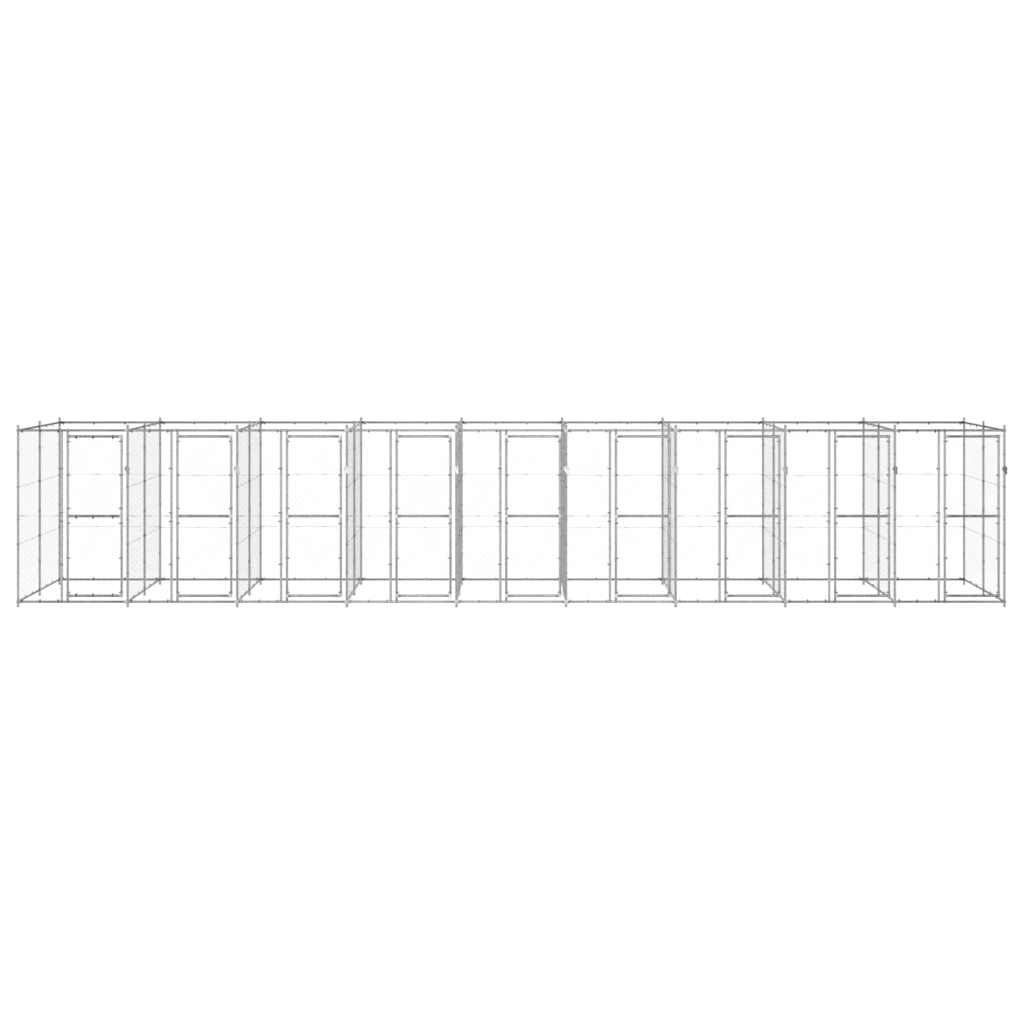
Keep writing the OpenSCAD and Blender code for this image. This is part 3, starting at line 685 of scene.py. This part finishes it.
CLIP = {r: clip_shape(r) for r in (RAIL_R, STILE_R, DOOR_R, MID_R)}
EAR_DOWN_X = (-Z, Y, X)  # ear down, tube along X
EAR_UP_X = (Z, Y, -X)
EAR_DOWN_Y = (-Z, -X, Y)
EAR_UP_Y = (Z, -X, -Y)
EAR_LEFT = (-X, -Y, Z)
EAR_BACK = (Y, -X, Z)
EAR_FRONT = (-Y, X, Z)

rail_clips = []
for z, x_axes, y_axes in ((Z_HIGH, EAR_DOWN_X, EAR_DOWN_Y), (Z_LOW, EAR_UP_X, EAR_UP_Y)):
    rail_clips += [at(post_x(i) + f * PITCH, Y_BACK, z, x_axes) for i in range(BAYS) for f in REAR_CLIP_AT]
    rail_clips += [at(post_x(i), y + f * HALF, z, y_axes) for y in (Y_FRONT, Y_MID) for i in range(BAYS + 1) for f in SIDE_CLIP_AT]
    rail_clips += [at(post_x(i) + x, Y_DOOR, z, x_axes) for i in range(BAYS) for x in FIXED_CLIP_AT]
show("folded_mesh_clips", CLIP[RAIL_R].copies(rail_clips), CLIP_STEEL, "run_frame", ["mesh_clips"])
post_clips = [at(post_x(i) + UPRIGHT_X, Y_DOOR, z, EAR_LEFT) for i in range(BAYS) for z in UPRIGHT_CLIP_Z]
for z in POST_CLIP_Z:
    post_clips += [at(post_x(i), y, z, EAR_BACK) for y in (Y_FRONT, Y_MID) for i in range(BAYS + 1)]
    post_clips += [at(post_x(i), y, z + (24 * MM if y == Y_MID else 0.0), EAR_FRONT) for y in (Y_MID, Y_REAR) for i in range(BAYS + 1)]
show("folded_post_clips", CLIP[STILE_R].copies(post_clips), CLIP_STEEL, "run_frame", ["mesh_clips"])


# ---------------------------------------------------------------- tension wires and their ties
def wire_with_loops(length, r_start, r_end, off_start, off_end, wire=WIRE_R, wraps=1, rise=0.0):
    """Wire along +X from post to post, and its two ends: wrapped round the post, the tail wound back round the wire."""

    def loop(radius, off):
        # the post's middle is at (0, off); the wire leaves along +X on y = 0
        rc = radius + 0.15 * MM + wire
        jx = rc + 13 * MM
        toward = np.array([jx, -off, 0.0])
        dist = np.linalg.norm(toward)
        lead = math.atan2(toward[1], toward[0])
        open_half = math.acos(rc / dist)
        a = np.linspace(open_half, 2 * math.pi * wraps - open_half, 15 * wraps) + lead
        up = np.linspace(rise * (wraps - 1), 0.0, 15 * wraps)
        arc = [(rc * math.cos(k), off + rc * math.sin(k), h) for k, h in zip(a, up)]
        turns, n = 3, 7
        tail = []
        for k in range(turns * n, -1, -1):
            t = k / n
            ph = 2 * math.pi * t + math.pi / 2
            grow = min(1.0, (t + 0.25) / 0.6)
            tail.append((jx + 3 * MM + t * 3.4 * MM, 2.15 * wire * grow * math.cos(ph), 2.15 * wire * grow * math.sin(ph)))
        return np.array(tail + arc + [(jx + 2 * MM, 0.0, 0.0), (jx + 15 * MM, 0.0, 0.0)])

    start, end = loop(r_start, off_start), loop(r_end, off_end)
    end[:, 0] = length - end[:, 0]
    run = np.linspace(start[-1], end[-1], 5)
    return sweep(run, wire, 6, ref=Z), packed([sweep(start, wire, 6, ref=Z), sweep(end[::-1], wire, 6, ref=Z)])


ties = []
ALONG = (Y, -X, Z)  # local X goes along +Y
# the two wires that meet at a middle post are wrapped round it one above the other
side_wires = [wire_with_loops(HALF, POST_R, POST_R, WIRE_OFF, WIRE_OFF, 1.5 * MM, 3, h * MM) for h in (3.2, -3.2)]
rear_wire = wire_with_loops(PITCH, POST_R, POST_R, -(RAIL_OFF - WIRE_OFF), -(RAIL_OFF - WIRE_OFF))
fixed_wire = wire_with_loops(UPRIGHT_X, POST_R, STILE_R, -(WIRE_OFF - RAIL_OFF), -WIRE_OFF)
side_at, rear_at = ([], []), []
for z in WIRE_Z:
    for half, (y, dz) in enumerate(((Y_FRONT, 2 * MM), (Y_MID, -2 * MM))):
        for i in range(BAYS + 1):
            side_at[half].append(at(post_x(i) + WIRE_OFF, y, z + dz, ALONG))
            ties += [at(post_x(i) + WIRE_OFF, y + f * HALF, z + dz, ALONG) for f in SLEEVE_AT]
    for i in range(BAYS):
        dz = 6 * MM if i % 2 == 0 else -6 * MM
        rear_at.append(at(post_x(i), Y_BACK - WIRE_OFF, z + dz))
        # the mesh is at the far side of a rear wire
        ties += [at(post_x(i) + f * PITCH, Y_BACK - WIRE_OFF, z + dz) for f in SLEEVE_AT]
fixed_at = [at(post_x(i), Y_DOOR + WIRE_OFF, D_MID) for i in range(BAYS)]
front_ties = [at(post_x(i) + f * UPRIGHT_X, Y_DOOR + WIRE_OFF, D_MID, (-X, -Y, Z)) for i in range(BAYS) for f in (0.12, 0.5, 0.88)]
side_runs, side_ends = [packed([w[part].copies(where, rows=True) for w, where in zip(side_wires, side_at)]) for part in (0, 1)]
runs, ends = [[rear_wire[part].copies(rear_at, rows=True), fixed_wire[part].copies(fixed_at, rows=True)] for part in (0, 1)]
show("straight_side_wires", side_runs, SIDE_WIRE_SHADED_STEEL, "run_frame", ["tension_wires"])
show("straight_tension_wires", packed(runs), WIRE_STEEL, "run_frame", ["tension_wires"])
show("wound_wire_ends", packed([side_ends] + ends), TIE_STEEL, "run_frame", ["tension_wires"])


def tie_shape():
    """Soft wire wound round the tension wire along X and the mesh wire beside it at +Y."""
    n, turns = 8, 13
    pts = []
    for k in range(turns * n + 1):
        ph = 2 * math.pi * k / n
        pts.append((-17 * MM + 34 * MM * k / (turns * n), 1.9 * MM + 4.0 * MM * math.cos(ph), 2.6 * MM * math.sin(ph)))
    return sweep(pts, 0.9 * MM, 5, ref=X)


# a tie's open side faces the mesh: the side walls lie at local +Y, the rear panels at +Y and the front ones at -Y
show("wound_wire_ties", tie_shape().copies(ties + front_ties), TIE_STEEL, "run_frame", ["mesh_clips"])


# ---------------------------------------------------------------- woven wire
def chain_link(width, height, lo, right, out, wire):
    """Woven panel: each wire zigzags upward and hooks into its neighbours. lo is its lower left corner."""
    sides = 3
    n = max(2, round(width / (DIAMOND / 2)))
    m = max(2, round(height / (DIAMOND / 2)))
    w2, h2 = width / n, height / m
    q, hook, g = 1.15 * wire, 0.9 * wire, 1.6 * wire
    i, k = np.meshgrid(np.arange(n), np.arange(m + 1), indexing="ij")
    right_side = (i + k) % 2
    x = (i + right_side) * w2 + np.where(right_side == 1, hook, -hook)
    x = np.clip(x, wire, width - wire)
    z = k * h2
    # rising to the right in front, to the left behind; each bend crosses from one to the other
    before = np.where(right_side == 1, q, -q)
    p = np.zeros((n, m + 1, 2, 3))
    p[:, :, 0, 0] = p[:, :, 1, 0] = x
    p[:, :, 0, 1], p[:, :, 1, 1] = before, -before
    p[:, :, 0, 2], p[:, :, 1, 2] = z - g, z + g
    p[:, 0, 0, 2] = 0.0
    p[:, -1, 1, 2] = height
    path = p.reshape(n, 2 * (m + 1), 3)
    d = np.diff(path, axis=1)
    d /= np.linalg.norm(d, axis=2, keepdims=True)
    tan = np.concatenate([d[:, :1], d[:, :-1] + d[:, 1:], d[:, -1:]], 1)
    tan /= np.linalg.norm(tan, axis=2, keepdims=True)
    a = np.array([0.0, 1.0, 0.0]) - tan * tan[..., 1:2]
    a /= np.linalg.norm(a, axis=2, keepdims=True)
    b = np.cross(tan, a)
    ang = 2 * math.pi * (np.arange(sides) + 0.5) / sides
    # a three-sided wire is a little fatter, so that it covers as much as a round one
    rr = wire * 1.2
    rings = path[:, :, None] + rr * (np.cos(ang)[:, None] * a[:, :, None] + np.sin(ang)[:, None] * b[:, :, None])
    rings[..., 2] = np.clip(rings[..., 2], 0.0, height)
    world = np.asarray(lo) + rings[..., 0:1] * right + rings[..., 1:2] * out + rings[..., 2:3] * Z
    count = path.shape[1]
    v = world.reshape(-1, 3)
    wi, ri, si = np.meshgrid(np.arange(n), np.arange(count - 1), np.arange(sides), indexing="ij")
    wi, ri, si = wi.ravel(), ri.ravel(), si.ravel()
    s2 = (si + 1) % sides
    base = wi * count * sides
    quads = np.stack([base + ri * sides + si, base + ri * sides + s2, base + (ri + 1) * sides + s2, base + (ri + 1) * sides + si], 1)
    if np.cross(right, out) @ Z < 0:
        quads = quads[:, ::-1]
    u0, u1 = ri / (count - 1), (ri + 1) / (count - 1)
    v0, v1 = (wi + 0.08 + 0.84 * si / sides) / n, (wi + 0.08 + 0.84 * (si + 1) / sides) / n
    qu = np.stack([np.stack([u0, v0], 1), np.stack([u0, v1], 1), np.stack([u1, v1], 1), np.stack([u1, v0], 1)], 1)
    if np.cross(right, out) @ Z < 0:
        qu = qu[:, ::-1]
    starts = np.arange(n) * count * sides
    caps = [np.stack([starts + 2, starts + 1, starts], 1), np.stack([starts + (count - 1) * sides + j for j in range(3)], 1)]
    caps = np.concatenate(caps)
    if np.cross(right, out) @ Z < 0:
        caps = caps[:, ::-1]
    row = np.tile(np.arange(n), 2)
    tu = np.stack([np.stack([np.where(np.arange(2 * n) < n, 0.0, 0.99) + 0.01 * (j == 1), (row + 0.1 + 0.4 * j) / n], 1) for j in range(3)], 1)
    return Geo().add(v, quads, qu, caps, tu)


Z0, Z1 = Z_LOW + RAIL_R, Z_HIGH - RAIL_R
side_edge = POST_R + 0.2 * MM
for i in range(BAYS + 1):
    parts = [chain_link(HALF - 2 * side_edge, Z1 - Z0, (post_x(i), y + side_edge, Z0), Y, -X, WALL_R) for y in (Y_FRONT, Y_MID)]
    show(f"woven_wall_{i + 1}", packed(parts), MESH_STEEL, "run_frame", ["side_mesh"], sharp=180)
for i in range(BAYS):
    panel = chain_link(PITCH - 2 * side_edge, Z1 - Z0, (post_x(i) + side_edge, Y_BACK, Z0), X, Y, PANEL_R)
    show(f"woven_rear_{i + 1}", panel, MESH_STEEL, "run_frame", ["rear_mesh"], sharp=180)
    panel = chain_link(UPRIGHT_X - side_edge - STILE_R, Z1 - Z0, (post_x(i) + side_edge, Y_DOOR, Z0), X, Y, PANEL_R)
    show(f"woven_front_{i + 1}", panel, MESH_STEEL, "run_frame", ["fixed_front_mesh"], sharp=180)


# ---------------------------------------------------------------- doors
def rivet_head():
    """Low dome on Z, its seat at 0."""
    return revolve([(0, -0.6 * MM), (4.5 * MM, -0.6 * MM), (4.5 * MM, 0.35 * MM), (3.9 * MM, 0.95 * MM), (2.6 * MM, 1.35 * MM), (0, 1.5 * MM)], 16)


def moved(g, m):
    v, q, qu, t, tu = g.arrays()
    return Geo().add(v @ m[:3, :3].T + m[:3, 3], q, qu, t, tu)


def door_shape():
    """Hinge stile with bored ends, capped free stile, three rails whose flat ends lap the stiles, rivets and weld beads."""
    r, c = STILE_R, 0.9 * MM
    z0, z1 = STILE_LOW, STILE_HIGH
    b, d = BOLT_R + PLAY, 24 * MM
    hinge = revolve([(0, z0 + d), (b, z0 + d), (b, z0), (r - c, z0), (r - 0.3 * c, z0 + 0.3 * c), (r, z0 + c), (r, 0.5 * (z0 + z1)),
                     (r, z1 - c), (r - 0.3 * c, z1 - 0.3 * c), (r - c, z1), (b, z1), (b, z1 - d), (0, z1 - d)], 24)
    z0, z1 = D_LOW - STILE_PAST, D_HIGH + STILE_PAST
    free = revolve([(0, z0 + 0.8 * MM), (r - 2.0 * MM, z0 + 0.6 * MM), (r - 1.7 * MM, z0), (r - 0.3 * c, z0 + 0.1 * c), (r, z0 + c), (r, 0.5 * (z0 + z1)),
                    (r, z1 - c), (r - 0.3 * c, z1 - 0.1 * c), (r - 1.7 * MM, z1), (r - 2.0 * MM, z1 - 0.6 * MM), (0, z1 - 0.8 * MM)], 24)
    parts = [hinge, moved(free, at(DOOR_W))]
    back = STILE_R - LAP
    for z, rr in ((D_LOW, DOOR_R), (D_MID, MID_R), (D_HIGH, DOOR_R)):
        parts.append(moved(flat_rail(DOOR_W, rr, back, back), at(0, -LAP, z)))
        for x in (0.0, DOOR_W):
            parts.append(moved(rivet_head(), at(x, -STILE_R - TAB_T, z, OUT_FRONT)))
            # beads above and below the flat, along the stile's face
            for up in (-1, 1):
                n = 15
                k = np.linspace(-1.0, 1.0, n)
                ang = k * math.radians(38)
                path = np.stack([x + (STILE_R + 0.1 * MM) * np.sin(ang), -(STILE_R + 0.1 * MM) * np.cos(ang), np.full(n, z + up * (TAB_R - 0.8 * MM))], 1)
                bead = 1.2 * MM + 0.25 * MM * np.sin(np.arange(n) * 2.2) - 0.5 * MM * np.abs(k) ** 4
                parts.append(sweep(path, bead, 6))
    return packed(parts)


def latch_outline(angle):
    """Reach of the comma-shaped plate from its pivot."""
    d = np.array([math.cos(angle), math.sin(angle)])
    best = 0.0
    for k in np.linspace(0.0, 1.0, 33):
        # the head runs out into the tail along a curve, getting narrower
        c = np.array([-2 + 15 * k ** 1.25, -6 - 46 * k]) * MM
        r = (27 - 15 * k ** 0.62) * MM
        proj = c @ d
        miss = r * r - (c @ c - proj * proj)
        if miss >= 0:
            best = max(best, proj + math.sqrt(miss))
    return best


LATCH_ANGLES = 72
LATCH_REACH = {round(2 * math.pi * k / LATCH_ANGLES, 9): latch_outline(2 * math.pi * k / LATCH_ANGLES) for k in range(LATCH_ANGLES)}


def latch_shape():
    ang = 2 * math.pi * np.arange(LATCH_ANGLES) / LATCH_ANGLES
    edge = np.array([LATCH_REACH[round(a, 9)] for a in ang])
    t, b = LATCH_T, BOLT_R + PLAY
    out = []
    # bore, back face, rounded rim, pressed front face
    for inset, h in ((None, 0.0), (0.9, 0.0), (0.25, 0.25), (0.0, 0.9), (0.0, 2.1), (0.25, 2.7), (0.9, 3.0), (4.5, 3.0), (None, 3.0)):
        rr = np.full(LATCH_ANGLES, b) if inset is None else np.maximum(edge - inset * MM, b)
        out.append(np.stack([rr * np.cos(ang), rr * np.sin(ang), np.full(LATCH_ANGLES, h * MM)], 1))
    return loft(out, round_again=True)


DOOR, LATCH = door_shape(), latch_shape()
for k in range(1, BAYS + 1):
    hx = post_x(k - 1) + HINGE_X
    show(f"welded_door_{k}", DOOR.copies([at(hx, Y_DOOR)]), DOOR_STEEL, f"door_{k}", [f"door_frame_{k}"])
    parts = []
    x0, x1 = STILE_R + 0.2 * MM, DOOR_W - STILE_R - 0.2 * MM
    for lo, hi in ((D_LOW + DOOR_R, D_MID - MID_R), (D_MID + MID_R, D_HIGH - DOOR_R)):
        parts.append(chain_link(x1 - x0, hi - lo, (hx + x0, Y_DOOR - LAP / 2, lo), X, Y, PANEL_R))
    show(f"woven_door_{k}", packed(parts), MESH_STEEL, f"door_{k}", [f"door_mesh_{k}"], sharp=180)
    rail_at, mid_at, stile_at = [], [], []
    for f in DOOR_CLIP_AT if k == 1 else ():
        rail_at.append(at(hx + f * DOOR_W, Y_DOOR - LAP, D_HIGH, EAR_DOWN_X))
        mid_at.append(at(hx + f * DOOR_W, Y_DOOR - LAP, D_MID, EAR_DOWN_X))
        rail_at.append(at(hx + f * DOOR_W, Y_DOOR - LAP, D_LOW, EAR_UP_X))
    for z in DOOR_CLIP_Z:
        stile_at.append(at(hx, Y_DOOR, z))
        stile_at.append(at(hx + DOOR_W, Y_DOOR, z, EAR_LEFT))
    groups = [(DOOR_R, rail_at), (MID_R, mid_at), (STILE_R, stile_at)]
    clips = packed([CLIP[r].copies(places) for r, places in groups if places])
    show(f"folded_door_clips_{k}", clips, CLIP_STEEL, f"door_{k}", [f"door_clips_{k}"])
    plate = LATCH.copies([at(post_x(k), Y_FRONT - LATCH_BACK, LATCH_Z, OUT_FRONT)])
    show(f"comma_latch_{k}", plate, LATCH_STEEL, f"latch_{k}", [f"latch_plate_{k}"], sharp=50)

# ---------------------------------------------------------------- stage
floor_mesh = bpy.data.meshes.new("floor")
floor_mesh.from_pydata([(-7, -2.2, 0), (7, -2.2, 0), (7, 2.6, 0), (-7, 2.6, 0)], [], [(0, 1, 2, 3)])
floor = bpy.data.objects.new("floor", floor_mesh)
scene.collection.objects.link(floor)
fm, fnt, fp = material("pale_floor")
fp.inputs["Base Color"].default_value = (0.3, 0.3, 0.3, 1.0)
fp.inputs["Roughness"].default_value = 0.9
fp.inputs["Specular IOR Level"].default_value = 0.1
fp.inputs["Emission Color"].default_value = (1.0, 1.0, 1.0, 1.0)
fp.inputs["Emission Strength"].default_value = 0.864
floor_mesh.materials.append(fm)
floor.visible_glossy = False

world = bpy.data.worlds.new("studio")
scene.world = world
world.use_nodes = True
wn = world.node_tree
wn.nodes.clear()
way = wn.nodes.new("ShaderNodeSeparateXYZ")
wn.links.new(wn.nodes.new("ShaderNodeTexCoord").outputs["Generated"], way.inputs["Vector"])


def sky_math(kind, a, b=0.0):
    n = wn.nodes.new("ShaderNodeMath")
    n.operation = kind
    for k, v in enumerate((a, b)):
        if isinstance(v, float):
            n.inputs[k].default_value = v
        else:
            wn.links.new(v, n.inputs[k])
    return n.outputs["Value"]


def sky_step(value, start, end, first, last):
    """Smooth change from first to last as the value goes from start to end."""
    n = wn.nodes.new("ShaderNodeMapRange")
    n.interpolation_type = "SMOOTHSTEP"
    for key, v in (("From Min", start), ("From Max", end), ("To Min", first), ("To Max", last)):
        n.inputs[key].default_value = v
    wn.links.new(value, n.inputs["Value"])
    return n.outputs["Result"]


# dim studio with bright side walls, a tall soft window in front and a pale backdrop behind
aside = sky_math("ABSOLUTE", way.outputs["X"])
walls = sky_math("MULTIPLY", sky_step(aside, 0.42, 0.8, 0.0, 1.25), sky_step(way.outputs["Z"], 0.2, 0.55, 1.0, 0.35))
window = sky_math("MULTIPLY", sky_step(sky_math("ABSOLUTE", sky_math("ADD", way.outputs["X"], 0.018)), 0.065, 0.135, 1.0, 0.0), sky_step(way.outputs["Y"], -0.3, 0.0, 3.8, 0.0))
window = sky_math("MULTIPLY", window, sky_step(sky_math("ABSOLUTE", sky_math("ADD", way.outputs["Z"], -0.12)), 0.22, 0.5, 1.0, 0.0))
backdrop = sky_math("MULTIPLY", sky_step(aside, 0.066, 0.105, 1.0, 0.0), sky_step(way.outputs["Y"], 0.0, 0.4, 0.0, 1.7))
backdrop = sky_math("MULTIPLY", backdrop, sky_step(way.outputs["Z"], 0.2, 0.5, 1.0, 0.0))
ceiling = sky_step(way.outputs["Z"], 0.75, 0.95, 0.37, 0.6)
glow = sky_math("ADD", sky_math("ADD", walls, ceiling), sky_math("ADD", window, backdrop))
soft = wn.nodes.new("ShaderNodeBackground")
soft.inputs["Color"].default_value = (1.0, 1.0, 1.0, 1.0)
wn.links.new(glow, soft.inputs["Strength"])
plain = wn.nodes.new("ShaderNodeBackground")
plain.inputs["Color"].default_value = (1.0, 1.0, 1.0, 1.0)
plain.inputs["Strength"].default_value = 1.052
seen = wn.nodes.new("ShaderNodeLightPath")
pick = wn.nodes.new("ShaderNodeMixShader")
wn.links.new(seen.outputs["Is Camera Ray"], pick.inputs["Fac"])
wn.links.new(soft.outputs["Background"], pick.inputs[1])
wn.links.new(plain.outputs["Background"], pick.inputs[2])
wo = wn.nodes.new("ShaderNodeOutputWorld")
wn.links.new(pick.outputs["Shader"], wo.inputs["Surface"])


def panel_light(name, place, look_at, width, height, radiance):
    d = bpy.data.lights.new(name, "AREA")
    d.shape = "RECTANGLE"
    d.size, d.size_y = width, height
    d.energy = radiance * math.pi * width * height
    o = bpy.data.objects.new(name, d)
    o.location = place
    way = np.array(look_at, float) - np.array(place, float)
    o.rotation_euler = mathutils.Vector(way).to_track_quat("-Z", "Y").to_euler()
    o.visible_camera = False
    scene.collection.objects.link(o)
    return o


panel_light("top_softbox", (0.0, -4.0, 16.0), (0.0, 0.0, 0.0), 8.0, 4.0, 0.4)

scene.view_settings.view_transform = "Standard"
scene.view_settings.look = "None"
scene.view_settings.exposure = 0.0
scene.view_settings.gamma = 1.0
